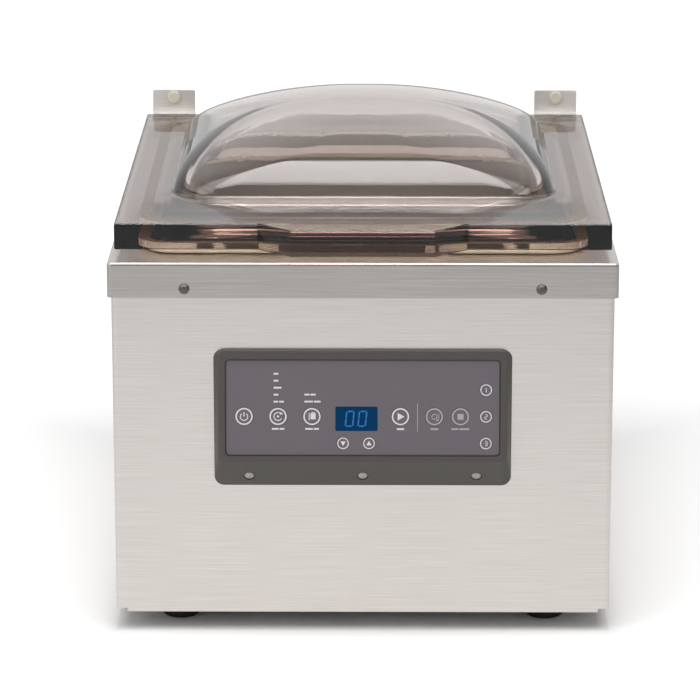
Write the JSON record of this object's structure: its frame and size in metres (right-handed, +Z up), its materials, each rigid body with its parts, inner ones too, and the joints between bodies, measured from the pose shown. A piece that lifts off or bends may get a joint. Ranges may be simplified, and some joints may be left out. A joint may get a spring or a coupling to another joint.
{
  "type": "vacuum sealer",
  "caption": "Tabletop chamber vacuum sealer: brushed steel cabinet on rubber feet, tinted domed lid on rear hinges, deep chamber with lifting seal bar, sloping keypad console.",
  "frame": {"origin": "on the table, under the middle of the machine's bounding box", "axes": "+X to the right, +Y from the console to the back, +Z up"},
  "size_m": [0.361, 0.4524, 0.3525],
  "materials": {
    "brushed_stainless": "brushed",
    "satin_stainless": "satin",
    "zinc_sheet": "zinc plated",
    "foot_rubber": "moulded",
    "plated_screws": "zinc plated",
    "tinted_acrylic": "clear, polished",
    "gasket_silicone": "moulded silicone",
    "pad_silicone": "moulded silicone",
    "mill_aluminium": "extruded",
    "resistance_wire": "drawn flat",
    "slip_tape": "coated glass cloth",
    "console_plastic": "moulded, fine texture",
    "keypad_film": "satin film",
    "key_film": "satin film, printed",
    "display_pane": "tinted, clear",
    "display_housing": "moulded, lit digits",
    "circuit_board": "lacquered",
    "spring_steel": "drawn wire",
    "bumper_nylon": "turned nylon",
    "motor_paint": "enamelled",
    "fan_plastic": "moulded",
    "core_steel": "varnished laminations",
    "coil_tape": "taped winding",
    "coil_resin": "moulded",
    "hose_rubber": "moulded",
    "inlet_plastic": "moulded",
    "pin_brass": "plated"
  },
  "bodies": {
    "cabinet": {"base_plate": "zinc_sheet", "chamber_port_grille": "satin_stainless", "chamber_tub": "satin_stainless", "console_frame": "console_plastic", "console_screws": "plated_screws", "control_board": "circuit_board", "deck_screws": "plated_screws", "display_module": "display_housing", "display_window": "display_pane", "fan_frame": "fan_plastic", "foot_front_left": "foot_rubber", "foot_front_right": "foot_rubber", "foot_rear_left": "foot_rubber", "foot_rear_right": "foot_rubber", "foot_screws": "plated_screws", "hinge_base_left": "satin_stainless", "hinge_base_right": "satin_stainless", "hinge_pins": "plated_screws", "housing_wrap": "brushed_stainless", "inlet_pins": "pin_brass", "keypad_overlay": "keypad_film", "lid_spring_left": "spring_steel", "lid_spring_right": "spring_steel", "lift_cylinders": "mill_aluminium", "power_inlet": "inlet_plastic", "pump_crankcases": "mill_aluminium", "pump_heads": "mill_aluminium", "pump_motor": "motor_paint", "pump_mounts": "foot_rubber", "rear_panel": "satin_stainless", "rear_panel_screws": "plated_screws", "top_deck": "brushed_stainless", "transformer_coil": "coil_tape", "transformer_core": "core_steel", "vacuum_hose": "hose_rubber", "valve_block": "mill_aluminium", "valve_coils": "coil_resin"},
    "lid_assembly": {"lid": "tinted_acrylic", "lid_gasket": "gasket_silicone", "seal_pad_channel": "mill_aluminium", "seal_pad_strip": "pad_silicone", "lid_bracket_left": "satin_stainless", "lid_bracket_right": "satin_stainless", "stop_bumpers": "bumper_nylon"},
    "seal_bar": {"seal_bar_block": "mill_aluminium", "seal_wires": "resistance_wire", "slip_tape": "slip_tape", "lift_rods": "plated_screws"},
    "fan": {"fan_rotor": "fan_plastic"},
    "key_down_button": {"key_down": "key_film"},
    "key_function_button": {"key_function": "key_film"},
    "key_power_button": {"key_power": "key_film"},
    "key_program_1_button": {"key_program_1": "key_film"},
    "key_program_2_button": {"key_program_2": "key_film"},
    "key_program_3_button": {"key_program_3": "key_film"},
    "key_seal_button": {"key_seal": "key_film"},
    "key_start_button": {"key_start": "key_film"},
    "key_stop_button": {"key_stop": "key_film"},
    "key_up_button": {"key_up": "key_film"},
    "key_vacuum_button": {"key_vacuum": "key_film"}
  },
  "joints": [
    {"name": "lid_hinge", "type": "hinge", "parent": "cabinet", "child": "lid_assembly", "pos_m": [0, 0.19325, 0.2855], "axis": [-1, 0, 0], "range_deg": [0, 65], "stiffness_Nm_per_rad": 1.4, "springref_deg": 160.43, "deforming": ["lid_spring_left", "lid_spring_right"]},
    {"name": "seal_bar_lift", "type": "slide", "parent": "cabinet", "child": "seal_bar", "axis": [0, 0, 1], "range_m": [0, 0.006]},
    {"name": "fan_spin", "type": "hinge", "parent": "cabinet", "child": "fan", "pos_m": [-0.1, 0.205, 0.078], "axis": [0, 1, 0], "continuous": true},
    {"name": "key_down_press", "type": "slide", "parent": "cabinet", "child": "key_down_button", "axis": [0, 0.9904, -0.1379], "range_m": [0, 0.0005], "stiffness_N_per_m": 200},
    {"name": "key_function_press", "type": "slide", "parent": "cabinet", "child": "key_function_button", "axis": [0, 0.9904, -0.1379], "range_m": [0, 0.0005], "stiffness_N_per_m": 200},
    {"name": "key_power_press", "type": "slide", "parent": "cabinet", "child": "key_power_button", "axis": [0, 0.9904, -0.1379], "range_m": [0, 0.0005], "stiffness_N_per_m": 200},
    {"name": "key_program_1_press", "type": "slide", "parent": "cabinet", "child": "key_program_1_button", "axis": [0, 0.9904, -0.1379], "range_m": [0, 0.0005], "stiffness_N_per_m": 200},
    {"name": "key_program_2_press", "type": "slide", "parent": "cabinet", "child": "key_program_2_button", "axis": [0, 0.9904, -0.1379], "range_m": [0, 0.0005], "stiffness_N_per_m": 200},
    {"name": "key_program_3_press", "type": "slide", "parent": "cabinet", "child": "key_program_3_button", "axis": [0, 0.9904, -0.1379], "range_m": [0, 0.0005], "stiffness_N_per_m": 200},
    {"name": "key_seal_press", "type": "slide", "parent": "cabinet", "child": "key_seal_button", "axis": [0, 0.9904, -0.1379], "range_m": [0, 0.0005], "stiffness_N_per_m": 200},
    {"name": "key_start_press", "type": "slide", "parent": "cabinet", "child": "key_start_button", "axis": [0, 0.9904, -0.1379], "range_m": [0, 0.0005], "stiffness_N_per_m": 200},
    {"name": "key_stop_press", "type": "slide", "parent": "cabinet", "child": "key_stop_button", "axis": [0, 0.9904, -0.1379], "range_m": [0, 0.0005], "stiffness_N_per_m": 200},
    {"name": "key_up_press", "type": "slide", "parent": "cabinet", "child": "key_up_button", "axis": [0, 0.9904, -0.1379], "range_m": [0, 0.0005], "stiffness_N_per_m": 200},
    {"name": "key_vacuum_press", "type": "slide", "parent": "cabinet", "child": "key_vacuum_button", "axis": [0, 0.9904, -0.1379], "range_m": [0, 0.0005], "stiffness_N_per_m": 200}
  ]
}
